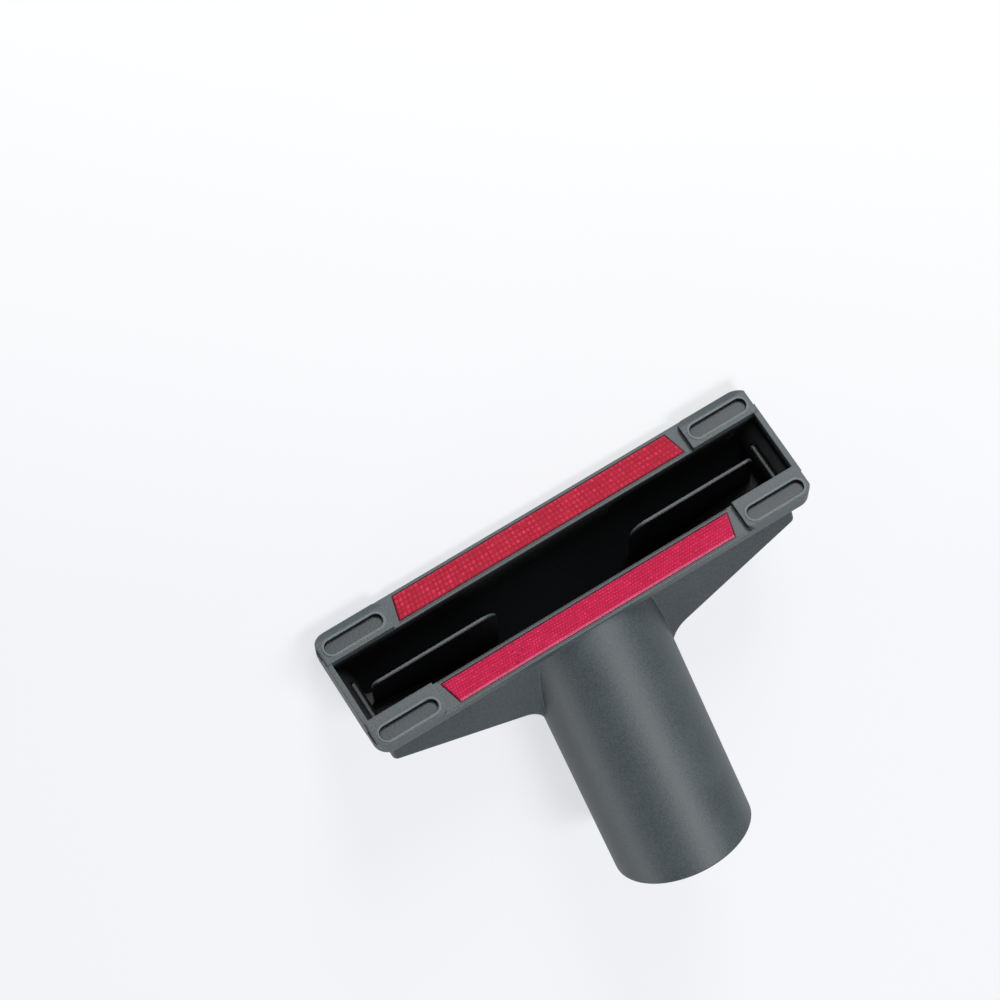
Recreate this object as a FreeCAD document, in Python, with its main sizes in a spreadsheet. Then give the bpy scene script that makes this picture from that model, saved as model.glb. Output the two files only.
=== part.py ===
import FreeCAD, Part
import math
import os
import Sketcher

# Vacuum upholstery nozzle: one grey moulding and two red lint-picker strips.
# The nozzle is drawn with its mouth level: X runs along the mouth, +Y is the heel side, to which
# the tube leans, and Z = 0 is the face of the corner pads, with the body above it.
# At the end it is turned to lie on its front wall, as it comes to rest on a table.

# Driving dimensions, in millimetres and degrees
SIZES = [
    ("socket_diameter", 35.0, "bore for the wand's end"),
    ("socket_depth", 30.0, "from the open end to the stop"),
    ("stop_step", 0.5, "step at the stop, where the bore narrows to the air way"),
    ("tube_wall", 1.75, "wall round the socket"),
    ("tube_lean", 44.0, "lean of the tube towards the heel side, from upright"),
    ("tube_reach", 102.6, "along the tube's axis, from the pads' face to the open end"),
    ("tube_setback", 13.0, "from mid mouth to where the tube's axis meets the pads' face"),
    ("tube_blend", 8.0, "radius of the blend between the roofs and the tube"),
    ("end_round", 0.6, "rounding of the open end's outer edge"),
    ("wall", 2.0, "wall of the head"),
    ("flange_length", 127.0, "along the mouth"),
    ("flange_corner", 4.0, "radius of the flange's corners"),
    ("flange_top", 5.5, "height of the ledge round the head"),
    ("lip_height", 2.1, "height of the flange's underside beside the strips"),
    ("outer_lip", 0.97, "from a strip to the flange's outer edge"),
    ("inner_lip", 1.08, "from the mouth to a strip"),
    ("mouth_inset", 1.5, "from the flange's end to the mouth"),
    ("mouth_width", 17.3, "opening"),
    ("front_lean", 33.0, "lean of the front wall"),
    ("front_start", 18.2, "from mid mouth to where the front wall's plane meets the pads' face"),
    ("riser_start", 13.2, "from mid mouth to the foot of the riser under the front wall"),
    ("riser_top", 9.0, "height of the riser under the front wall"),
    ("heel_lean", 21.5, "lean of the heel wall"),
    ("heel_start", 8.7, "from mid mouth to where the heel wall's plane meets the pads' face"),
    ("head_inset", 3.9, "from the flange's end to the end walls"),
    ("shoulder_height", 20.3, "height of the end walls"),
    ("roof_pitch", 18.8, "rise of the roofs towards the tube"),
    ("roof_fall", 3.8, "fall of the roofs towards the heel"),
    ("flare_top", 13.5, "height where the end walls begin to flare"),
    ("flare_foot", 6.2, "height where the flare meets the flange's end"),
    ("ridge_round", 1.5, "rounding of the head's edges"),
    ("pad_length", 19.2, "of a corner pad, along the mouth"),
    ("pad_inset", 0.4, "from the flange's end to the pads"),
    ("pad_corner", 2.0, "radius of a pad's outer corner beside the strip"),
    ("pad_slope", 40.0, "slope outside a pad's face"),
    ("front_slope_width", 2.1, "from the face of a front pad to the flange's edge"),
    ("heel_slope_width", 0.4, "from the face of a heel pad to the flange's edge"),
    ("end_lip_height", 0.5, "height of the end lips' underside"),
    ("recess_margin", 1.4, "from a pad's ends to its oblong recess"),
    ("recess_width", 3.9, "of a pad's oblong recess"),
    ("recess_depth", 1.2, "of a pad's oblong recess"),
    ("front_recess_place", 3.5, "from the mouth to the middle of a front pad's recess"),
    ("heel_recess_place", 5.2, "from the mouth to the middle of a heel pad's recess"),
    ("ring_width", 0.5, "of the raised ring round a recess"),
    ("ring_height", 0.25, "of the raised ring round a recess"),
    ("strip_gap", 2.0, "from a pad to a strip's end"),
    ("strip_taper", 1.8, "by which each end of a strip's outer edge falls short of its inner edge"),
    ("strip_width", 6.4, "across"),
    ("strip_thickness", 1.8, "of the pile and its backing"),
    ("strip_clearance", 0.15, "round a strip in its bed"),
    ("bed_height", 3.3, "height of the strip beds' floor"),
    ("fin_thickness", 0.9, "of the two fins across the mouth"),
    ("fin_start", 19.8, "from mid length to a fin"),
    ("fin_gap", 3.6, "from a fin to the end wall's outside"),
    ("fin_height", 4.8, "height of the fins' lower edge"),
    ("fin_inner_corner", 4.5, "radius of a fin's lower corner beside mid length"),
    ("fin_outer_corner", 2.0, "radius of a fin's lower corner beside the end wall"),
    ("slot_height", 1.3, "of the bleed slot in each end wall"),
    ("slot_width", 13.4, "of the bleed slot in each end wall"),
    ("slot_place", 8.7, "height of the bleed slots' middle"),
    ("slot_offset", 2.4, "from mid mouth to the bleed slots' middle"),
]

# Values worked out from the driving dimensions
WORKED = [
    ("tube_radius", "=sizes.socket_diameter / 2 + sizes.tube_wall"),
    ("throat_radius", "=sizes.socket_diameter / 2 - sizes.stop_step"),
    ("tube_end_y", "=sizes.tube_reach * sin(sizes.tube_lean * 1 deg) - sizes.tube_setback"),
    ("tube_end_z", "=sizes.tube_reach * cos(sizes.tube_lean * 1 deg)"),
    ("beyond", "=sizes.tube_reach + 2 * tube_radius"),
    ("flange_half_length", "=sizes.flange_length / 2"),
    ("flange_height", "=sizes.flange_top - sizes.lip_height"),
    ("head_half", "=flange_half_length - sizes.head_inset"),
    ("mouth_half_length", "=flange_half_length - sizes.mouth_inset"),
    ("mouth_half_width", "=sizes.mouth_width / 2"),
    ("ridge_height", "=sizes.shoulder_height + head_half * tan(sizes.roof_pitch * 1 deg)"),
    ("strip_inner_edge", "=mouth_half_width + sizes.inner_lip"),
    ("strip_outer_edge", "=strip_inner_edge + sizes.strip_width"),
    ("strip_face", "=sizes.bed_height - sizes.strip_thickness"),
    ("flange_half_width", "=strip_outer_edge + sizes.outer_lip"),
    ("pad_end", "=flange_half_length - sizes.pad_inset"),
    ("pad_start", "=pad_end - sizes.pad_length"),
    ("pad_middle", "=pad_end - sizes.pad_length / 2"),
    ("recess_length", "=sizes.pad_length - 2 * sizes.recess_margin"),
    ("strip_half_length", "=pad_start - sizes.strip_gap"),
    ("fin_end", "=head_half - sizes.fin_gap"),
    ("fin_top", "=(sizes.front_start - sizes.wall / 2 / cos(sizes.front_lean * 1 deg))"
                " / tan(sizes.front_lean * 1 deg)"),
    ("bend_z", "=(sizes.tube_setback + tube_radius / cos(sizes.tube_lean * 1 deg) - sizes.front_start)"
               " / (tan(sizes.tube_lean * 1 deg) - tan(sizes.front_lean * 1 deg))"),
    ("bend_y", "=bend_z * tan(sizes.front_lean * 1 deg) - sizes.front_start"),
    ("rest_turn", "=atan2(bend_z - sizes.flange_top; bend_y + flange_half_width) / 1 deg"),
]

SIDES = ("+", "-")
NEAR = 0.01  # two places closer than this are the same
SEAM_TURN = math.radians(-50)  # where a tube's seam lies round its axis, clear of the walls' edges
OTHER_END = {1: 2, 2: 1}  # of a sketched edge
CENTRE = 3  # the point number of a sketched circle's or arc's centre

doc = FreeCAD.newDocument("upholstery_nozzle")
sizes = doc.addObject("Spreadsheet::Sheet", "sizes")
for row, (alias, value, note) in enumerate(SIZES, start=1):
    sizes.set("A%d" % row, str(value))
    sizes.set("B%d" % row, note)
    sizes.setAlias("A%d" % row, alias)
worked = doc.addObject("Spreadsheet::Sheet", "worked")
for row, (alias, formula) in enumerate(WORKED, start=1):
    worked.set("A%d" % row, formula)
    worked.setAlias("A%d" % row, alias)
doc.recompute()


def new_body(name):
    body = doc.addObject("PartDesign::Body", name)
    body.Label = name
    return body


def origin_plane(body, role):
    return [item for item in body.Origin.OriginFeatures if item.Role == role][0]


def new_sketch(body, name, role, offset=None):
    """A sketch on one of the body's own planes, or on a plane beside it at the given offset."""
    sketch = body.newObject("Sketcher::SketchObject", name)
    sketch.AttachmentSupport = [(origin_plane(body, role), "")]
    sketch.MapMode = "FlatFace"
    if offset:
        sketch.setExpression("AttachmentOffset.Base.z", offset)
    return sketch


def pin_point(sketch, edge, end, across, up):
    """Hold one end of an edge at a place worked out from the sheets."""
    for kind, formula in (("DistanceX", across), ("DistanceY", up)):
        here = sketch.addConstraint(Sketcher.Constraint(kind, edge, end, number(sketch, formula)))
        sketch.setExpression("Constraints[%d]" % here, formula)


def number(owner, formula):
    value = owner.evalExpression(formula)
    return float(getattr(value, "Value", value))


def draw_outline(sketch, corners, arcs=None):
    """A closed outline through the corners. arcs gives the radius formula and the bulge's side, 1 for
    the right-hand side of the way round and -1 for the left, of the edge after each numbered corner."""
    arcs = arcs or {}
    places = [FreeCAD.Vector(number(sketch, x), number(sketch, y), 0) for x, y in corners]
    first = len(sketch.Geometry)
    for step, start in enumerate(places):
        finish = places[(step + 1) % len(places)]
        if step in arcs:
            radius = number(sketch, arcs[step][0])
            chord = finish - start
            rise = radius - math.sqrt(radius ** 2 - (chord.Length / 2) ** 2)
            outward = FreeCAD.Vector(chord.y, -chord.x, 0).normalize() * arcs[step][1]
            middle = (start + finish) / 2 + outward * rise
            sketch.addGeometry(Part.Arc(start, middle, finish))
        else:
            sketch.addGeometry(Part.LineSegment(start, finish))
    count = len(places)
    for step in range(count):
        edge = first + step
        following = first + (step + 1) % count
        starts = end_points(sketch, edge, places[step])
        meets = end_points(sketch, following, places[(step + 1) % count])
        finishes = OTHER_END[starts]
        sketch.addConstraint(Sketcher.Constraint("Coincident", edge, finishes, following, meets))
    for step, (across, up) in enumerate(corners):
        pin_point(sketch, first + step, end_points(sketch, first + step, places[step]), across, up)
        if step in arcs:
            radius = number(sketch, arcs[step][0])
            here = sketch.addConstraint(Sketcher.Constraint("Radius", first + step, radius))
            sketch.setExpression("Constraints[%d]" % here, arcs[step][0])


def end_points(sketch, edge, place):
    """1 or 2: which end of the edge lies at the place."""
    near = sketch.getPoint(edge, 1).distanceToPoint(place)
    far = sketch.getPoint(edge, 2).distanceToPoint(place)
    return 1 if near <= far else 2


def draw_rectangle(sketch, left, low, right, high):
    draw_outline(sketch, [(left, low), (right, low), (right, high), (left, high)])


def draw_circle(sketch, radius, across="0", up="0"):
    centre = FreeCAD.Vector(number(sketch, across), number(sketch, up), 0)
    circle = Part.Circle(centre, FreeCAD.Vector(0, 0, 1), number(sketch, radius))
    circle.AngleXU = SEAM_TURN
    ring = sketch.addGeometry(circle)
    pin_point(sketch, ring, CENTRE, across, up)
    here = sketch.addConstraint(Sketcher.Constraint("Radius", ring, number(sketch, radius)))
    sketch.setExpression("Constraints[%d]" % here, radius)


def extrude(body, kind, name, sketch, length, both_ways=False, back=False):
    """A pad or a pocket of the sketch, with its length from the sheets."""
    feature = body.newObject("PartDesign::" + kind, name)
    feature.Profile = sketch
    feature.SideType = "Symmetric" if both_ways else "One side"
    feature.Reversed = back
    feature.setExpression("Length", length)
    return feature


def mirror(body, name, features, role):
    feature = body.newObject("PartDesign::Mirrored", name)
    feature.Originals = features
    feature.MirrorPlane = (origin_plane(body, role), [""])
    body.Tip = feature
    return feature


def form(body, prefix, inset, tube_radius, foot_end, foot_height, rounded=False):
    """The head and tube as one closed form. The same steps make the outside and, with the wall taken
    off all round and no rounding, the core that leaves the air way."""
    # Front view: end walls that flare out to the flange
    front_view = new_sketch(body, prefix + "front_view", "XZ_Plane")
    end = "(worked.head_half - %s)" % inset
    run = "(%s - %s)" % (foot_end, end)
    climb = "(sizes.flare_top - sizes.flare_foot)"
    flare = "(%s * %s + %s * %s) / (2 * %s)" % (run, run, climb, climb, run)
    corners = [
        ("-" + foot_end, "0"),
        (foot_end, "0"),
        (foot_end, "sizes.flare_foot"),
        (end, "sizes.flare_top"),
        (end, "worked.beyond"),
        ("-" + end, "worked.beyond"),
        ("-" + end, "sizes.flare_top"),
        ("-" + foot_end, "sizes.flare_foot"),
    ]
    draw_outline(front_view, corners, {2: (flare, -1), 6: (flare, -1)})
    extrude(body, "Pad", prefix + "head", front_view, "2 * worked.beyond", both_ways=True)

    # Front view: what is cut away above two roofs, which rise to the middle and fall towards the heel
    roof_view = new_sketch(body, prefix + "roof_view", "XZ_Plane")
    slope = "tan(sizes.roof_pitch * 1 deg)"
    drop = "%s / cos(sizes.roof_pitch * 1 deg)" % inset
    peak = "sizes.shoulder_height + worked.head_half * %s - %s" % (slope, drop)
    eaves = "%s - 2 * worked.beyond * %s" % (peak, slope)
    corners = [
        ("-2 * worked.beyond", eaves),
        ("0", peak),
        ("2 * worked.beyond", eaves),
        ("2 * worked.beyond", "2 * worked.beyond"),
        ("-2 * worked.beyond", "2 * worked.beyond"),
    ]
    draw_outline(roof_view, corners)
    roofs = extrude(body, "Pocket", prefix + "roofs", roof_view, "3 * worked.beyond", both_ways=True)
    fall = math.radians(sizes.get("roof_fall"))
    roofs.UseCustomVector = True
    roofs.Direction = FreeCAD.Vector(0, -math.cos(fall), math.sin(fall))

    # The tube's root, blended into the roofs
    if rounded:
        add_tube(body, prefix + "root", tube_radius)
        fillet(body, prefix + "blend", body.Tip, "sizes.tube_blend", is_tube_foot)

    # Side view: what is cut away behind the heel wall and above the roofs' ridge
    heel_view = new_sketch(body, prefix + "heel_view", "YZ_Plane")
    heel = "sizes.heel_start - %s / cos(sizes.heel_lean * 1 deg)" % inset
    lean = "tan(sizes.heel_lean * 1 deg)"
    corners = [
        ("%s - worked.beyond * %s" % (heel, lean), "-worked.beyond"),
        ("2 * worked.beyond", "-worked.beyond"),
        ("2 * worked.beyond", "2 * worked.beyond"),
        ("-2 * worked.beyond", "2 * worked.beyond"),
        ("-2 * worked.beyond", "worked.ridge_height"),
        ("%s + worked.ridge_height * %s" % (heel, lean), "worked.ridge_height"),
    ]
    draw_outline(heel_view, corners)
    extrude(body, "Pocket", prefix + "heel_cut", heel_view, "2 * worked.beyond", both_ways=True)
    if rounded:
        fillet(body, prefix + "heel_round", body.Tip, "sizes.ridge_round", is_heel_edge)

    add_tube(body, prefix + "tube", tube_radius)

    # Side view: what is cut away before the riser and the flat front wall
    cut_view = new_sketch(body, prefix + "cut_view", "YZ_Plane")
    front = "%s / cos(sizes.front_lean * 1 deg) - sizes.front_start" % inset
    lean = "tan(sizes.front_lean * 1 deg)"
    corners = [
        ("-2 * worked.beyond", "-worked.beyond"),
        ("%s - sizes.riser_start" % inset, "-worked.beyond"),
        ("%s - sizes.riser_start" % inset, foot_height),
        ("%s + sizes.riser_top * %s" % (front, lean), "sizes.riser_top"),
        ("%s + 2 * worked.beyond * %s" % (front, lean), "2 * worked.beyond"),
        ("-2 * worked.beyond", "2 * worked.beyond"),
    ]
    draw_outline(cut_view, corners)
    extrude(body, "Pocket", prefix + "front_cut", cut_view, "2 * worked.beyond", both_ways=True)

    # The foot is level
    foot_view = new_sketch(body, prefix + "foot_view", "YZ_Plane")
    draw_rectangle(foot_view, "-2 * worked.beyond", "-2 * worked.beyond", "2 * worked.beyond", foot_height)
    return extrude(body, "Pocket", prefix + "foot_cut", foot_view, "2 * worked.beyond", both_ways=True)


def add_tube(body, name, radius):
    """The tube, from its open end down past the mouth."""
    ring = new_sketch(body, name + "_ring", "XY_Plane")
    tilt_to_tube(ring)
    draw_circle(ring, radius)
    extrude(body, "Pad", name, ring, "worked.beyond", back=True)


def tilt_to_tube(sketch):
    """Put a sketch square across the tube, at its open end."""
    sideways = FreeCAD.Rotation(FreeCAD.Vector(1, 0, 0), -sizes.get("tube_lean"))
    sketch.AttachmentOffset = FreeCAD.Placement(FreeCAD.Vector(), sideways)
    sketch.setExpression("AttachmentOffset.Base.y", "worked.tube_end_y")
    sketch.setExpression("AttachmentOffset.Base.z", "worked.tube_end_z")
    sketch.setExpression("AttachmentOffset.Rotation.Angle", "-sizes.tube_lean")


def fillet(body, name, base, radius, test):
    """Round the edges whose middle point passes the test."""
    doc.recompute()
    chosen = []
    for place, edge in enumerate(base.Shape.Edges, start=1):
        if test(edge, edge.valueAt((edge.FirstParameter + edge.LastParameter) / 2)):
            chosen.append("Edge%d" % place)
    feature = body.newObject("PartDesign::Fillet", name)
    feature.Base = (base, chosen)
    feature.setExpression("Radius", radius)
    return feature


def is_tube_foot(edge, middle):
    """Where the tube comes out of the roofs."""
    return isinstance(edge.Curve, Part.Ellipse) and middle.z > sizes.get("shoulder_height")


def is_heel_edge(edge, middle):
    """Round the heel wall, and along the shoulders."""
    on_heel = sizes.get("heel_start") + middle.z * math.tan(math.radians(sizes.get("heel_lean")))
    inside = sizes.get("flare_foot") < middle.z < worked.get("ridge_height") - NEAR
    shoulder = abs(middle.x) > worked.get("head_half") - NEAR and middle.z > sizes.get("flare_top") + NEAR
    return (abs(middle.y - on_heel) < NEAR and inside) or shoulder


def is_front_edge(edge, middle):
    """Round the flat front wall, above the riser."""
    on_front = middle.z * math.tan(math.radians(sizes.get("front_lean"))) - sizes.get("front_start")
    return abs(middle.y - on_front) < NEAR and middle.z > sizes.get("riser_top") + NEAR


def is_open_end(edge, middle):
    lean = math.radians(sizes.get("tube_lean"))
    past_end = (middle.y - worked.get("tube_end_y")) * math.sin(lean)
    past_end += (middle.z - worked.get("tube_end_z")) * math.cos(lean)
    return abs(past_end) < NEAR


def build_outside(body):
    last = form(body, "outer_", "0", "worked.tube_radius", "worked.flange_half_length",
                "sizes.lip_height", rounded=True)
    last = fillet(body, "open_end_round", last, "sizes.end_round", is_open_end)
    return fillet(body, "front_round", last, "sizes.ridge_round", is_front_edge)


def build_air_way(body):
    """The passage through head and tube, and the socket down to its stop."""
    core = new_body("air_way")
    form(core, "core_", "sizes.wall", "worked.throat_radius", "worked.mouth_half_length",
         "sizes.flange_top")
    hollow = body.newObject("PartDesign::Boolean", "hollow")
    hollow.Type = "Cut"
    hollow.addObjects([core])
    socket = new_sketch(body, "socket_ring", "XY_Plane")
    tilt_to_tube(socket)
    draw_circle(socket, "sizes.socket_diameter / 2")
    extrude(body, "Pocket", "socket", socket, "sizes.socket_depth")


def build_flange(body):
    """The flange round the mouth, its end lips and the four corner pads."""
    flange = new_sketch(body, "flange_outline", "XY_Plane", "sizes.lip_height")
    draw_rectangle(flange, "-worked.flange_half_length", "-worked.flange_half_width",
                   "worked.flange_half_length", "worked.flange_half_width")
    extrude(body, "Pad", "flange", flange, "worked.flange_height")

    lips = new_sketch(body, "end_lip_outline", "XY_Plane", "sizes.end_lip_height")
    draw_rectangle(lips, "worked.pad_end - worked.flange_height", "-worked.mouth_half_width - sizes.wall",
                   "worked.flange_half_length", "worked.mouth_half_width + sizes.wall")
    lip = extrude(body, "Pad", "end_lip", lips, "sizes.flange_top - sizes.end_lip_height")
    mirror(body, "both_end_lips", [lip], "YZ_Plane")

    # Pads at one end, front and heel, each with its outer corner beside the strip rounded
    pads = new_sketch(body, "pad_outlines", "XY_Plane")
    for side, bulge in zip(SIDES, (-1, 1)):
        draw_outline(pads, [
            ("worked.pad_start", side + "worked.mouth_half_width"),
            ("worked.pad_end", side + "worked.mouth_half_width"),
            ("worked.pad_end", side + "worked.flange_half_width"),
            ("worked.pad_start + sizes.pad_corner", side + "worked.flange_half_width"),
            ("worked.pad_start", side + "(worked.flange_half_width - sizes.pad_corner)"),
        ], {3: ("sizes.pad_corner", -bulge)})
    pad = extrude(body, "Pad", "corner_pads", pads, "sizes.flange_top")
    mirror(body, "pads_at_both_ends", [pad], "YZ_Plane")

    # Side view: the slopes outside the pads' faces
    slopes = new_sketch(body, "slope_sections", "YZ_Plane")
    for side, width in zip(SIDES, ("sizes.heel_slope_width", "sizes.front_slope_width")):
        face_edge = side + "(worked.flange_half_width - %s)" % width
        outside = side + "(worked.flange_half_width + %s)" % width
        draw_outline(slopes, [
            (face_edge, "0"),
            (outside, "2 * %s * tan(sizes.pad_slope * 1 deg)" % width),
            (outside, "-sizes.flange_top"),
            (face_edge, "-sizes.flange_top"),
        ])
    extrude(body, "Pocket", "pad_slopes", slopes, "sizes.flange_length", both_ways=True)


def cut_from_below(body, name, sketch, height):
    """A pocket upwards from well under the pads' face to the given height."""
    return extrude(body, "Pocket", name, sketch, "sizes.flange_top + " + height, back=True)


def cut_flange(body):
    """The mouth, the flange's round corners and the strip beds."""
    mouth = new_sketch(body, "mouth_outline", "XY_Plane", "-sizes.flange_top")
    draw_rectangle(mouth, "-worked.mouth_half_length", "-worked.mouth_half_width",
                   "worked.mouth_half_length", "worked.mouth_half_width")
    cut_from_below(body, "mouth", mouth, "sizes.flange_top")

    corners = new_sketch(body, "corner_outlines", "XY_Plane", "-sizes.flange_top")
    for end in SIDES:
        for side in SIDES:
            across = "worked.flange_half_length"
            up = "worked.flange_half_width"
            bulge = 1 if end == side else -1
            draw_outline(corners, [
                (end + "(%s - sizes.flange_corner)" % across, side + up),
                (end + across, side + "(%s - sizes.flange_corner)" % up),
                (end + "(%s + sizes.wall)" % across, side + "(%s - sizes.flange_corner)" % up),
                (end + "(%s + sizes.wall)" % across, side + "(%s + sizes.wall)" % up),
                (end + "(%s - sizes.flange_corner)" % across, side + "(%s + sizes.wall)" % up),
            ], {0: ("sizes.flange_corner", -bulge)})
    cut_from_below(body, "flange_corners", corners, "sizes.flange_top")

    beds = new_sketch(body, "bed_outlines", "XY_Plane", "-sizes.flange_top")
    for side in SIDES:
        draw_outline(beds, strip_corners(side, "sizes.strip_clearance"))
    cut_from_below(body, "strip_beds", beds, "sizes.bed_height")


def strip_corners(side, margin):
    inner = "(worked.strip_half_length + %s)" % margin
    outer = "(worked.strip_half_length - sizes.strip_taper + %s)" % margin
    near = side + "(worked.strip_inner_edge - %s)" % margin
    far = side + "(worked.strip_outer_edge + %s)" % margin
    return [("-" + inner, near), (inner, near), (outer, far), ("-" + outer, far)]


def draw_oblong(sketch, across, up, length, width):
    """A round-ended outline about its middle."""
    radius = number(sketch, width) / 2
    reach = number(sketch, length) / 2 - radius
    middle = FreeCAD.Vector(number(sketch, across), number(sketch, up), 0)
    ends = []
    for sign in (1, -1):
        centre = middle + FreeCAD.Vector(sign * reach, 0, 0)
        tips = [centre + FreeCAD.Vector(0, -sign * radius, 0), centre + FreeCAD.Vector(sign * radius, 0, 0),
                centre + FreeCAD.Vector(0, sign * radius, 0)]
        ends.append(sketch.addGeometry(Part.Arc(*tips)))
    sides = []
    for sign in (1, -1):
        start = middle + FreeCAD.Vector(sign * reach, sign * radius, 0)
        finish = middle + FreeCAD.Vector(-sign * reach, sign * radius, 0)
        sides.append(sketch.addGeometry(Part.LineSegment(start, finish)))
    right, left = ends
    top, bottom = sides
    for arc, arc_end, line, line_end in ((right, 2, top, 1), (left, 1, top, 2), (left, 2, bottom, 1),
                                         (right, 1, bottom, 2)):
        sketch.addConstraint(Sketcher.Constraint("Tangent", arc, arc_end, line, line_end))
    for sign, arc in (("+", right), ("-", left)):
        pin_point(sketch, arc, CENTRE, "%s %s (%s - %s) / 2" % (across, sign, length, width), up)
        here = sketch.addConstraint(Sketcher.Constraint("Radius", arc, radius))
        sketch.setExpression("Constraints[%d]" % here, "(%s) / 2" % width)


def cut_recesses(body):
    """The oblong recess of each corner pad, with a thin raised ring round it."""
    rings = new_sketch(body, "ring_outlines", "XY_Plane")
    recesses = new_sketch(body, "recess_outlines", "XY_Plane", "-sizes.flange_top")
    for side, place in zip(SIDES, ("sizes.heel_recess_place", "sizes.front_recess_place")):
        up = side + "(worked.mouth_half_width + %s)" % place
        draw_oblong(rings, "worked.pad_middle", up, "(worked.recess_length + 2 * sizes.ring_width)",
                    "(sizes.recess_width + 2 * sizes.ring_width)")
        draw_oblong(recesses, "worked.pad_middle", up, "worked.recess_length", "sizes.recess_width")
    ring = extrude(body, "Pad", "rings", rings, "sizes.ring_height", back=True)
    mirror(body, "rings_at_both_ends", [ring], "YZ_Plane")
    recess = cut_from_below(body, "recesses", recesses, "sizes.recess_depth")
    mirror(body, "recesses_at_both_ends", [recess], "YZ_Plane")


def cut_slots(body):
    slot = new_sketch(body, "slot_outline", "YZ_Plane", "worked.head_half - sizes.wall")
    draw_rectangle(slot, "sizes.slot_offset - sizes.slot_width / 2", "sizes.slot_place - sizes.slot_height / 2",
                   "sizes.slot_offset + sizes.slot_width / 2", "sizes.slot_place + sizes.slot_height / 2")
    cut = extrude(body, "Pocket", "slot", slot,
                  "worked.flange_half_length - worked.head_half + sizes.wall", back=True)
    mirror(body, "slots_at_both_ends", [cut], "YZ_Plane")


def build_fins(body):
    """Two thin fins that hang from the roofs at mid width, down to just above the mouth."""
    fins = new_sketch(body, "fin_outline", "XZ_Plane")
    slope = "tan(sizes.roof_pitch * 1 deg)"
    mid_roof = "(sizes.shoulder_height - sizes.wall / 2)"
    draw_outline(fins, [
        ("sizes.fin_start", "sizes.fin_height + sizes.fin_inner_corner"),
        ("sizes.fin_start", "worked.fin_top"),
        ("worked.head_half - (worked.fin_top - %s) / %s" % (mid_roof, slope), "worked.fin_top"),
        ("worked.fin_end", "%s + sizes.fin_gap * %s" % (mid_roof, slope)),
        ("worked.fin_end", "sizes.fin_height + sizes.fin_outer_corner"),
        ("worked.fin_end - sizes.fin_outer_corner", "sizes.fin_height"),
        ("sizes.fin_start + sizes.fin_inner_corner", "sizes.fin_height"),
    ], {4: ("sizes.fin_outer_corner", -1), 6: ("sizes.fin_inner_corner", -1)})
    fin = extrude(body, "Pad", "fin", fins, "sizes.fin_thickness", both_ways=True)
    mirror(body, "both_fins", [fin], "YZ_Plane")


def build_nozzle_body():
    body = new_body("nozzle_body")
    build_outside(body)
    build_air_way(body)
    build_flange(body)
    cut_flange(body)
    cut_recesses(body)
    cut_slots(body)
    build_fins(body)
    return body


def build_lint_strip(name, side):
    """A strip of lint-picker pile, flat on the floor of its bed."""
    body = new_body(name)
    outline = new_sketch(body, name + "_outline", "XY_Plane", "worked.strip_face")
    draw_outline(outline, strip_corners(side, "0"))
    extrude(body, "Pad", name + "_pad", outline, "sizes.strip_thickness")
    return body


def lay_down(pieces):
    """Turn the nozzle to lie on its front: on the flange's front edge and on the bend where the flat
    front wall runs out into the tube. The origin is under the middle of its box."""
    turn = math.radians(worked.get("rest_turn"))
    half_turn = FreeCAD.Rotation(FreeCAD.Vector(0, math.cos(turn / 2), math.sin(turn / 2)), 180)
    lift = worked.get("flange_half_width") * math.sin(turn) + sizes.get("flange_top") * math.cos(turn)
    turned = Part.makeCompound([piece.Shape for piece in pieces])
    turned.Placement = FreeCAD.Placement(FreeCAD.Vector(), half_turn)
    box = turned.optimalBoundingBox()
    for piece in pieces:
        piece.Placement = FreeCAD.Placement(FreeCAD.Vector(0, -box.Center.y, lift), half_turn)


nozzle = build_nozzle_body()
front_strip = build_lint_strip("front_lint_strip", "-")
heel_strip = build_lint_strip("heel_lint_strip", "+")
pieces = [nozzle, front_strip, heel_strip]
doc.recompute()
lay_down(pieces)
doc.recompute()

for item in doc.Objects:
    if "Invalid" in item.State or "Error" in item.State:
        raise RuntimeError("%s did not build" % item.Name)
for piece in pieces:
    if piece.Shape.isNull() or not piece.Shape.isValid():
        raise RuntimeError("%s has no valid shape" % piece.Label)
    if len(piece.Shape.Solids) != 1:
        raise RuntimeError("%s is not one solid" % piece.Label)

os.makedirs("parts", exist_ok=True)
for piece in pieces:
    piece.Shape.exportStep("parts/%s.step" % piece.Label)
    print(piece.Label, round(piece.Shape.Volume), piece.Shape.optimalBoundingBox())
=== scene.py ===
import math
import bpy
import numpy as np
from mathutils import Matrix, Vector


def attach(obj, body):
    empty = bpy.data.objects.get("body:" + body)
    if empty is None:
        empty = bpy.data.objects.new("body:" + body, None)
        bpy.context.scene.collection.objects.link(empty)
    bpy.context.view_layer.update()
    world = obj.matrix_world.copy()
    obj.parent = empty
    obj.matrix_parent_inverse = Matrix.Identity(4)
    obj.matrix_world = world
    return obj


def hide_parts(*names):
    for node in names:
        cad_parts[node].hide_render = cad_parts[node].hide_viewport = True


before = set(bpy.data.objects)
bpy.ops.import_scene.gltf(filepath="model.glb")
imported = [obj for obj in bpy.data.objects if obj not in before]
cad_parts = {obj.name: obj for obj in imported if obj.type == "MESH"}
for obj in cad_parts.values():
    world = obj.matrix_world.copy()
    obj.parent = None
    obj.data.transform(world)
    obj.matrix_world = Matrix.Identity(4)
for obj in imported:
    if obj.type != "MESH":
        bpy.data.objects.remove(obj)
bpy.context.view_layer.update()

# The vacuum nozzle lies on its flat front wall, with its mouth facing forwards and upwards.
# The grey moulding keeps its CAD shape and gets its plastic; the two red lint strips are modelled
# here as woven pile. All places are in metres, in the CAD model's frame, unless a comment says so.

MM = 0.001

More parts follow.
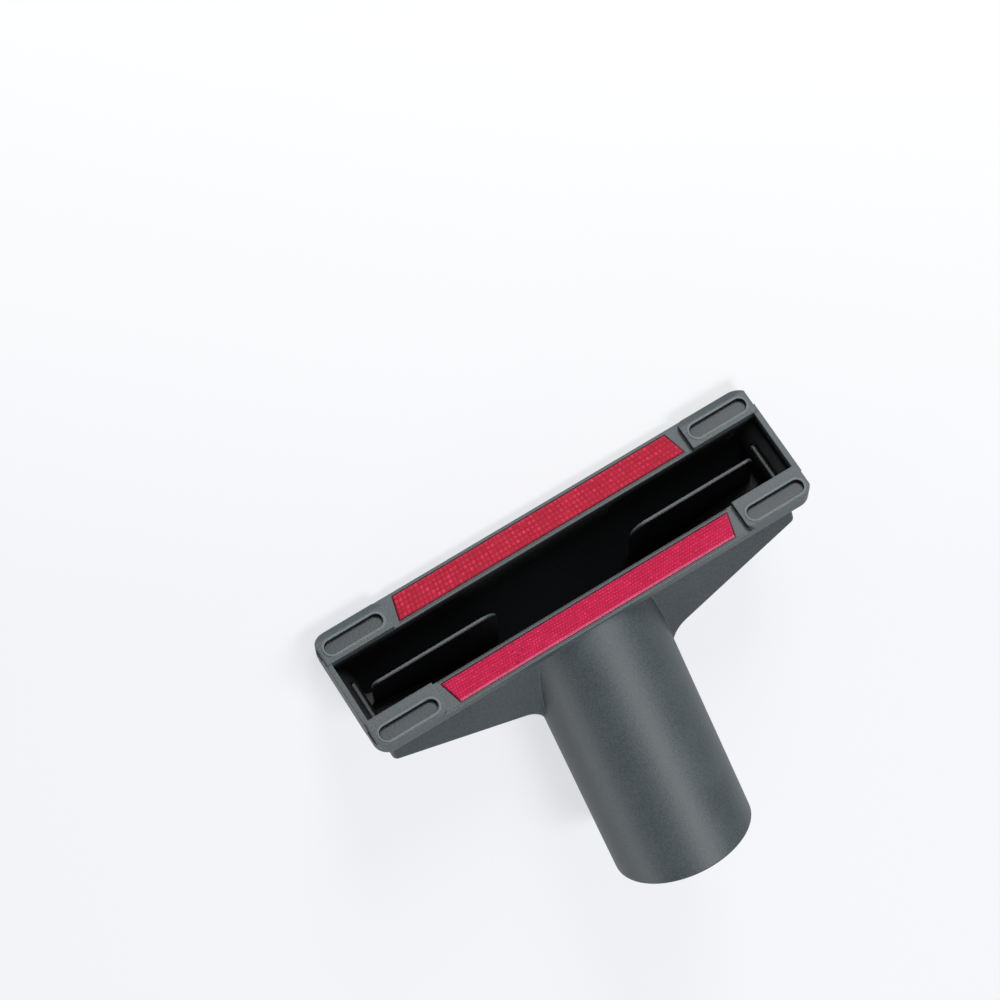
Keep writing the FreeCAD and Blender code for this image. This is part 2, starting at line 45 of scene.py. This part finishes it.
# Camera, from the perspective of the lower view of the nozzle
CAMERA_PLACE = (0.1525, -0.5551, 0.6598)
CAMERA_FORWARD = (-0.1761, 0.5921, -0.7864)
CAMERA_RIGHT = (-0.8475, 0.3152, 0.4271)
CAMERA_LENS = 121.5
SENSOR = 36.0

# Studio: each lamp's name, place, size and power. All of them face the nozzle.
LAMPS = (("overhead", (-0.2, 0.36, 0.95), 0.45, 8.0),
         ("front", (-0.3, -1.05, 0.42), 0.35, 10.5),
         ("side", (0.9, 0.5, 0.14), 0.24, 2.5))
WORLD_STRENGTH = 0.25

# Floor: the rays that see it pale, how much of its shadow they miss, and the way it pales
SEEN_BY = ("Is Camera Ray", "Is Glossy Ray", "Is Transmission Ray")
SHADOW_MISSED = 0.75
FLOOR_SIZE = 6.0
PALING_WAY = (-0.56, -0.83, 0.0)
PALING_START = 0.02
PALING_END = 0.16

# The nozzle's own frame as it lies, from the middle of its mouth. A point's place in it is given in
# millimetres: along the mouth to either side, heelward to its heel side, and upward into the body.
MOUTH_MIDDLE = (0.0, -44.197 * MM, 17.202 * MM)
HEELWARD = (0.0, 0.56721, 0.82357)
UPWARD = (0.0, 0.82357, -0.56721)

# The moulding's walls in that frame, each by the middle of its thickness
FRONT_LEAN = math.radians(33)
FRONT_FOOT = -17.0
FRONT_LIP = -12.2
HEEL_LEAN = math.radians(21.5)
HEEL_FOOT = 7.6
ROOF_TOP = 39.5
ROOF_FALL_ALONG = 0.34
ROOF_FALL_HEELWARD = 0.066
HEAD_END = 58.6
FLARE_TOP = 13.5
FLARE_CURVE = 0.067
TUBE_LEAN = math.radians(44)
TUBE_FOOT = -13.0
TUBE_RADIUS = 18.3
FLANGE_TOP = 5.4
MOUTH_TOP = 5.6
MOUTH_END = 62.3
MOUTH_HALF_WIDTH = 8.8
# Heights over which the painted shade on the air way's walls fades in
INSIDE_SHADE_FROM = 2.4
INSIDE_SHADE_FULL = 3.4

# Bands in that frame, each with its middle and its reach to either side
FIN_THICKNESS = (-0.2, 0.28)
FIN_TOP = 10.5
FIN_END = 57.0
SLOT_HEIGHT = (8.7, 0.68)
SLOT_WIDTH = (2.4, 6.75)
SLOT_DEPTH = (58.5, 1.95)
RECESS_WALL = (0.0, 0.22)
RECESS_WALL_HEIGHT = (0.7, 0.6)
RECESS_FOOT = (-0.25, 0.3)
RECESS_FLOOR_HEIGHT = (1.2, 0.2)
RECESS_LIP = (0.35, 0.3)
PAD_FACE_HEIGHT = (-0.15, 0.16)
PAD_FOOT = (43.9, 0.2)
PAD_FOOT_HEIGHT = (1.3, 0.75)
STRIP_GROOVES = ((-9.2, 0.13), (8.9, 0.28), (16.65, 0.1))
LIP_HEIGHT = (2.1, 0.25)
LIP_END = 42.5

# The oblong recess in each corner pad
RECESS_MIDDLE = 53.5
RECESS_HALF_STRAIGHT = 6.25
RECESS_FRONT_SIDE = -12.15
RECESS_HEEL_SIDE = 13.85
RECESS_RADIUS = 1.95

EDGE_EASE = 0.5 * MM  # how far an edge's rounding shows
GRAIN_DEPTH = 0.2 * MM
FIBRE_DEPTH = 0.12 * MM

# Weave of the lint strips
TUFT_RISE = 0.22 * MM
CELLS_PER_TUFT = 5
FUZZ = 0.025 * MM
PILE_SHOULDER = 0.35 * MM
EDGE_DROP = 0.5 * MM
SLAB_SHARE = 0.6  # of the CAD strip's thickness
SPECK_PLACES = ((21.5, 0.1), (22.6, 0.35), (20.4, 0.45), (21.9, 0.6), (20.9, 0.8), (23.0, 0.85))
SPECK_SIZE = 0.3 * MM
FLAT_ENOUGH = 0.1 * MM


class Sock:
    """A shader socket that can be added, multiplied and so on, as a number can."""

    def __init__(self, tree, link=None):
        self.tree = tree
        self.link = link

    def node(self, kind, settings=None, inputs=None, output=0):
        made = self.tree.nodes.new(kind)
        for name, value in (settings or {}).items():
            if name == "ramp":
                shape_ramp(made.color_ramp, value)
            else:
                setattr(made, name, value)
        for name, value in (inputs or {}).items():
            if isinstance(value, Sock):
                self.tree.links.new(value.link, made.inputs[name])
            else:
                made.inputs[name].default_value = value
        return Sock(self.tree, made.outputs[output])

    def math(self, operation, *values):
        return self.node("ShaderNodeMath", {"operation": operation}, dict(enumerate(values)))

    def __add__(self, other):
        return self.math("ADD", self, other)

    __radd__ = __add__

    def __mul__(self, other):
        return self.math("MULTIPLY", self, other)

    __rmul__ = __mul__

    def __sub__(self, other):
        return self.math("SUBTRACT", self, other)

    def __rsub__(self, other):
        return self.math("SUBTRACT", other, self)

    def above(self, limit):
        return self.math("GREATER_THAN", self, limit)

    def below(self, limit):
        return self.math("LESS_THAN", self, limit)

    def near(self, middle, reach):
        """1 within this reach of the middle value, otherwise 0."""
        return self.math("COMPARE", self, middle, reach)

    def most(self, other):
        return self.math("MAXIMUM", self, other)

    def least(self, other):
        return self.math("MINIMUM", self, other)

    def size(self):
        return self.math("ABSOLUTE", self)

    def root(self):
        return self.math("SQRT", self)

    def rise(self, low, high):
        """0 at the low value and 1 at the high one, and straight between them."""
        return self.node("ShaderNodeMapRange", inputs={"Value": self, "From Min": low, "From Max": high})

    def ramp(self, *stops):
        return self.node("ShaderNodeValToRGB", {"ramp": stops}, {"Fac": self})

    def minus(self, other):
        return self.node("ShaderNodeVectorMath", {"operation": "SUBTRACT"}, {0: self, 1: other})

    def dot(self, other):
        return self.node("ShaderNodeVectorMath", {"operation": "DOT_PRODUCT"}, {0: self, 1: other}, output=1)

    def noise(self, scale, detail):
        inputs = {"Vector": self, "Scale": scale, "Detail": detail}
        return self.node("ShaderNodeTexNoise", inputs=inputs)

    def mix(self, first, second):
        """first where this mask is 0 and second where it is 1, as colours."""
        inputs = {"Factor": self, 6: first, 7: second}
        return self.node("ShaderNodeMix", {"data_type": "RGBA"}, inputs, output=2)

    def feed(self, node, socket):
        self.tree.links.new(self.link, node.inputs[socket])


def shape_ramp(ramp, stops):
    """stops are (place, value) pairs in black and white."""
    while len(ramp.elements) > 1:
        ramp.elements.remove(ramp.elements[-1])
    for step, (place, value) in enumerate(stops):
        element = ramp.elements[0] if step == 0 else ramp.elements.new(place)
        element.position = place
        element.color = (value, value, value, 1)


def new_material(name, **constants):
    """A material with one glossy shader, whose constants are set on the shader's own sockets. It comes
    with that shader, a start for further nodes and the place on the piece."""
    material = bpy.data.materials.new(name)
    material.use_nodes = True
    shader = material.node_tree.nodes["Principled BSDF"]
    for socket, value in constants.items():
        shader.inputs[socket.replace("_", " ")].default_value = value
    start = Sock(material.node_tree)
    place = start.node("ShaderNodeTexCoord", output=3)
    return material, shader, start, place


def srgb(red, green, blue):
    """A colour written as it looks on a screen, 0 to 255, as the shader's own numbers."""
    def one(value):
        value /= 255
        return value / 12.92 if value <= 0.04045 else ((value + 0.055) / 1.055) ** 2.4
    return (one(red), one(green), one(blue), 1.0)


def mouth_place(place):
    """A point's place in the nozzle's own frame: along, heelward and upward."""
    offset = place.minus(MOUTH_MIDDLE)
    along = offset.dot((1 / MM, 0.0, 0.0)).size()
    heelward = offset.dot([part / MM for part in HEELWARD])
    upward = offset.dot([part / MM for part in UPWARD])
    return along, heelward, upward


def inside_shade_mask(normal, along, heelward, upward):
    """Where shade is painted near black: 1 on the walls of the air way, in the bleed slot and on the sides
    of the fins, 0 on the outside. Each test lies in the middle of the moulding's wall, between its two
    faces."""
    behind_front = (heelward - upward * math.tan(FRONT_LEAN)).above(FRONT_FOOT) * heelward.above(FRONT_LIP)
    before_heel = (heelward - upward * math.tan(HEEL_LEAN)).below(HEEL_FOOT)
    under_roof = (upward + along * ROOF_FALL_ALONG + heelward * ROOF_FALL_HEELWARD).below(ROOF_TOP)
    down_flare = (FLARE_TOP - upward).most(0.0)
    within_ends = (along - down_flare * down_flare * FLARE_CURVE).below(HEAD_END)
    in_head = before_heel * under_roof * within_ends
    sideways = (heelward - TUBE_FOOT) * math.cos(TUBE_LEAN) - upward * math.sin(TUBE_LEAN)
    in_tube = (along * along + sideways * sideways).root().below(TUBE_RADIUS)
    in_body = in_tube.most(in_head) * behind_front * upward.above(FLANGE_TOP)
    in_mouth = upward.below(MOUTH_TOP) * heelward.size().below(MOUTH_HALF_WIDTH) * along.below(MOUTH_END)
    inside = in_body.most(in_mouth) * upward.rise(INSIDE_SHADE_FROM, INSIDE_SHADE_FULL)
    slot = upward.near(*SLOT_HEIGHT) * heelward.near(*SLOT_WIDTH) * along.near(*SLOT_DEPTH)
    on_fin = heelward.near(*FIN_THICKNESS) * upward.below(FIN_TOP) * along.below(FIN_END)
    fin_edge = on_fin * normal.dot(UPWARD).below(-0.05)
    return inside.most(slot) * (1.0 - fin_edge)


def pad_recess(along, heelward):
    """How far a point lies outside the oblong recess of its corner pad, in millimetres; negative inside."""
    end = ((along - RECESS_MIDDLE).size() - RECESS_HALF_STRAIGHT).most(0.0)
    side = (heelward - RECESS_FRONT_SIDE).size().least((heelward - RECESS_HEEL_SIDE).size())
    return (end * end + side * side).root() - RECESS_RADIUS


def crevice_shade_mask(recess, along, heelward, upward):
    """1 where shade is painted, as little light gets in there: the recesses' walls, the foot of the pads and
    the fine grooves along the strips. The recesses' floors are partly so."""
    wall = recess.near(*RECESS_WALL) * upward.near(*RECESS_WALL_HEIGHT)
    floor = (recess.below(0.0) * 0.45 + recess.near(*RECESS_FOOT) * 0.5) * upward.near(*RECESS_FLOOR_HEIGHT)
    pad_foot = along.near(*PAD_FOOT) * upward.near(*PAD_FOOT_HEIGHT)
    mask = wall.most(floor).most(pad_foot)
    on_lip = upward.near(*LIP_HEIGHT) * along.below(LIP_END)
    for groove in STRIP_GROOVES:
        mask = mask.most(heelward.near(*groove) * on_lip)
    return mask


def grey_plastic():
    """Dark blue-grey moulded plastic: a fine matt grain and faint cloudy flow marks, with a painted
    highlight on its edges and on the lips of the pad recesses, and painted shade in the recesses, at the
    foot of the pads and in the grooves along the strips. The walls of the air way are painted near black, as
    shade."""
    material, shader, start, place = new_material("grey_plastic", IOR=1.46)
    grain = place.noise(1900.0, 3.0)
    clouds = place.noise(55.0, 3.0)
    tone = clouds.ramp((0.3, 0.0), (0.7, 1.0))
    speckle = grain.ramp((0.4, 0.0), (0.6, 1.0))
    colour = (tone * 0.45 + speckle * 0.55).mix(srgb(50, 58, 61), srgb(70, 79, 82))

    along, heelward, upward = mouth_place(place)
    recess = pad_recess(along, heelward)
    # Painted highlight on the raised lip round each pad recess
    lip_highlight = recess.near(*RECESS_LIP) * upward.near(*PAD_FACE_HEIGHT)
    normal = start.node("ShaderNodeNewGeometry", output=1)
    eased = start.node("ShaderNodeBevel", {"samples": 6}, {"Radius": EDGE_EASE})
    # Painted highlight along every edge, convex and concave
    edge = (1.0 - eased.dot(normal)).rise(0.02, 0.2)
    colour = (edge * 0.55 + lip_highlight * 0.3).mix(colour, srgb(128, 139, 141))
    # Painted shade in the pad recesses, at the pads' foot and in the grooves along the strips
    colour = (crevice_shade_mask(recess, along, heelward, upward) * 0.9).mix(colour, srgb(22, 26, 28))
    # Painted shade: the walls of the air way, the slot and the fins' sides near black
    colour = inside_shade_mask(normal, along, heelward, upward).mix(colour, srgb(13, 15, 17))
    colour.feed(shader, "Base Color")
    (0.41 + clouds * 0.12 + grain * 0.08).feed(shader, "Roughness")
    relief = {"Strength": 0.35, "Distance": GRAIN_DEPTH, "Height": grain, "Normal": eased}
    start.node("ShaderNodeBump", inputs=relief).feed(shader, "Normal")
    return material


def red_pile(name, deep, tip, rim_highlight):
    """Red pile: painted shade between the tufts and a painted highlight on their tips and along the outer
    edge, with dark roots showing along the mouth's side and a few dark specks."""
    material, shader, start, place = new_material(
        name, IOR=1.4, Sheen_Weight=0.2, Sheen_Roughness=0.5, Sheen_Tint=srgb(255, 120, 150))

    def painted(attribute):
        return start.node("ShaderNodeAttribute", {"attribute_name": attribute}, output=2)

    fibre = place.noise(3800.0, 3.0)
    patch = place.noise(300.0, 2.0)
    # Painted highlight on the tufts' tips and painted shade between them
    lit = painted("tuft_height").rise(0.25, 0.95)
    shade = lit * (0.35 + painted("tuft_tone") * 0.75) + fibre * 0.35 + patch * 0.5 - 0.4
    colour = shade.mix(deep, tip)
    # Painted highlight along the strip's outer edge
    colour = (painted("lit_outer_edge") * 0.8).mix(colour, rim_highlight)
    colour = (painted("inner_edge") * 0.8).mix(colour, srgb(96, 20, 40))
    colour = (painted("speck") * 0.75).mix(colour, srgb(80, 16, 34))
    colour.feed(shader, "Base Color")
    (0.72 + fibre * 0.2).feed(shader, "Roughness")
    relief = {"Strength": 0.5, "Distance": FIBRE_DEPTH, "Height": fibre}
    start.node("ShaderNodeBump", inputs=relief).feed(shader, "Normal")
    return material


def strip_frame(node):
    """The corners of a CAD strip's working face, that face's outward direction, the direction across the
    strip, and the strip's thickness."""
    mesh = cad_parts[node].data
    largest = max(mesh.polygons, key=lambda face: (round(face.area * 1e9), face.normal.z))
    out = largest.normal.copy()
    if out.z < 0:
        out = -out
    points = {tuple(round(part, 7) for part in vertex.co) for vertex in mesh.vertices}
    reach = max(Vector(point).dot(out) for point in points)
    corners = [Vector(point) for point in points if reach - Vector(point).dot(out) < FLAT_ENOUGH]
    across = out.cross(Vector((1, 0, 0))).normalized()
    heights = [vertex.co.dot(out) for vertex in mesh.vertices]
    return corners, out, across, max(heights) - min(heights)


def smooth_step(value, low, high):
    share = np.clip((value - low) / (high - low), 0, 1)
    return share * share * (3 - 2 * share)


def paint(mesh, name, values):
    attribute = mesh.attributes.new(name, "FLOAT", "POINT")
    attribute.data.foreach_set("value", values.astype(np.float32))


def build_pile(name, node, seed, material, pitch, offset, rim_start, specks=()):
    """A strip of woven pile: a slab of the strip's own outline, whose face rises in rows of tufts."""
    corners, out, across, depth = strip_frame(node)
    low = min(corner.dot(across) for corner in corners)
    high = max(corner.dot(across) for corner in corners)
    plane = corners[0].dot(out)
    ends = []
    for edge in (low, high):
        xs = [corner.x for corner in corners if abs(corner.dot(across) - edge) < FLAT_ENOUGH]
        ends.append((min(xs), max(xs)))
    (low_left, low_right), (high_left, high_right) = ends
    width = high - low
    length = max(low_right - low_left, high_right - high_left)
    rows = round(width / pitch) * CELLS_PER_TUFT
    columns = round(length / pitch) * CELLS_PER_TUFT

    bpy.ops.object.select_all(action="DESELECT")
    bpy.ops.mesh.primitive_grid_add(x_subdivisions=columns, y_subdivisions=rows, size=1.0)
    strip = bpy.context.object
    strip.name = name
    mesh = strip.data
    count = len(mesh.vertices)
    flat = np.empty(count * 3)
    mesh.vertices.foreach_get("co", flat)
    flat = flat.reshape(-1, 3) + (0.5, 0.5, 0.0)
    along, up = flat[:, 0], flat[:, 1]

    # The outline tapers, so each row runs between its own two ends
    left = low_left + (high_left - low_left) * up
    right = low_right + (high_right - low_right) * up
    x = left + (right - left) * along
    y = low + width * up

    # Tufts: pillows of uneven height in rows, with a little fuzz, that fall away at the strip's edge
    draw = np.random.default_rng(seed)
    tuft_rows = rows / CELLS_PER_TUFT
    tuft_columns = columns / CELLS_PER_TUFT
    row_place = up * tuft_rows
    column_place = along * tuft_columns + offset * (np.floor(row_place) % 2)
    tuft = (row_place.astype(int), column_place.astype(int))
    pillow = np.abs(np.sin(np.pi * row_place)) * np.abs(np.sin(np.pi * column_place))
    tallness = draw.uniform(0.55, 1.0, (int(tuft_rows) + 2, int(tuft_columns) + 3))
    fuzz = draw.normal(0, 1, count)
    side = np.minimum(np.minimum(up, 1 - up) * width, np.minimum(along, 1 - along) * length)
    shoulder = smooth_step(side, 0, PILE_SHOULDER)
    rise = (pillow ** 0.7) * tallness[tuft]
    height = shoulder * (TUFT_RISE * rise + FUZZ * fuzz) - (1 - shoulder) * EDGE_DROP - TUFT_RISE
    places = np.outer(x, (1, 0, 0)) + np.outer(y, across) + np.outer(plane + height, out)
    mesh.vertices.foreach_set("co", places.ravel())

    paint(mesh, "tuft_height", rise * shoulder)
    tones = draw.uniform(0.0, 1.0, tallness.shape) ** 1.5
    paint(mesh, "tuft_tone", tones[tuft])
    outer = up if abs(high) > abs(low) else 1 - up
    # Where the painted highlight of the outer edge lies
    paint(mesh, "lit_outer_edge", smooth_step(outer, rim_start, 1.0) * draw.uniform(0.3, 1.0, count))
    paint(mesh, "inner_edge", smooth_step(1 - outer, 0.95, 1.0) * (np.sin(np.pi * column_place) < 0.0))
    dirt = np.zeros(count)
    for speck_x, speck_share in specks:
        away = np.hypot(x - speck_x * MM, (outer - speck_share) * width)
        dirt = np.maximum(dirt, 1 - smooth_step(away, 0.5 * SPECK_SIZE, SPECK_SIZE))
    paint(mesh, "speck", dirt)
    mesh.update()

    # The slab under the pile, down to the bed
    bpy.ops.object.mode_set(mode="EDIT")
    bpy.ops.mesh.select_all(action="SELECT")
    bpy.ops.mesh.select_mode(type="EDGE")
    bpy.ops.mesh.region_to_loop()
    bpy.ops.mesh.extrude_edges_move(TRANSFORM_OT_translate={"value": -out * depth * SLAB_SHARE})
    bpy.ops.mesh.edge_face_add()
    bpy.ops.mesh.select_all(action="SELECT")
    bpy.ops.mesh.normals_make_consistent(inside=False)
    bpy.ops.object.mode_set(mode="OBJECT")
    bpy.ops.object.shade_smooth_by_angle(angle=math.radians(50))
    mesh.materials.append(material)
    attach(strip, "root")
    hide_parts(node)


def build_floor():
    """A plain white table top, on which only a trace of the shadow shows."""
    bpy.ops.object.select_all(action="DESELECT")
    bpy.ops.mesh.primitive_plane_add(size=FLOOR_SIZE, location=(0, 0, 0))
    floor = bpy.context.object
    floor.name = "floor"
    material, shader, start, place = new_material(
        "pale_floor", Roughness=0.9, Base_Color=srgb(236, 238, 242))
    seen = sum(start.node("ShaderNodeLightPath", output=ray) for ray in SEEN_BY)
    pale = place.dot(PALING_WAY).rise(PALING_START, PALING_END).mix(srgb(243, 244, 247), srgb(255, 255, 255))
    glow = start.node("ShaderNodeBsdfPrincipled", inputs={
        "Base Color": srgb(0, 0, 0), "Specular IOR Level": 0.0,
        "Emission Strength": 1.0, "Emission Color": pale})
    lit = Sock(start.tree, shader.outputs[0])
    both = start.node("ShaderNodeMixShader", inputs={0: seen * SHADOW_MISSED, 1: lit, 2: glow})
    both.feed(start.tree.nodes["Material Output"], "Surface")
    floor.data.materials.append(material)


def light_studio():
    scene = bpy.context.scene
    for name, place, size, power in LAMPS:
        lamp = bpy.data.lights.new(name, "AREA")
        lamp.size = size
        lamp.energy = power
        holder = bpy.data.objects.new(name, lamp)
        scene.collection.objects.link(holder)
        holder.location = place
        holder.rotation_euler = (-Vector(place)).to_track_quat("-Z", "Y").to_euler()
    scene.world = bpy.data.worlds.new("studio")
    scene.world.use_nodes = True
    background = scene.world.node_tree.nodes["Background"]
    background.inputs["Color"].default_value = srgb(235, 238, 242)
    background.inputs["Strength"].default_value = WORLD_STRENGTH


def place_camera():
    data = bpy.data.cameras.new("camera")
    data.lens = CAMERA_LENS
    data.sensor_width = SENSOR
    camera = bpy.data.objects.new("camera", data)
    bpy.context.scene.collection.objects.link(camera)
    back = -Vector(CAMERA_FORWARD).normalized()
    right = Vector(CAMERA_RIGHT)
    right = (right - back * right.dot(back)).normalized()
    turn = Matrix((right, back.cross(right), back)).transposed().to_4x4()
    camera.matrix_world = Matrix.Translation(CAMERA_PLACE) @ turn
    bpy.context.scene.camera = camera


place_camera()
light_studio()
build_floor()
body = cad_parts["nozzle_body"]
body.data.materials.clear()
body.data.materials.append(grey_plastic())
# Each pile's colours: between the tufts (painted shade), on the tips (painted highlight), and the painted
# highlight along the outer edge
crimson = red_pile("crimson_pile", srgb(154, 8, 38), srgb(212, 46, 80), srgb(218, 74, 104))
pink = red_pile("pink_pile", srgb(170, 4, 54), srgb(216, 40, 96), srgb(226, 124, 156))
build_pile("front_pile", "front_lint_strip", 11, crimson, 1.25 * MM, 0.0, 0.94)
build_pile("heel_pile", "heel_lint_strip", 12, pink, 0.8 * MM, 0.5, 0.88, SPECK_PLACES)

bpy.context.scene.view_settings.view_transform = "Standard"
bpy.context.view_layer.update()
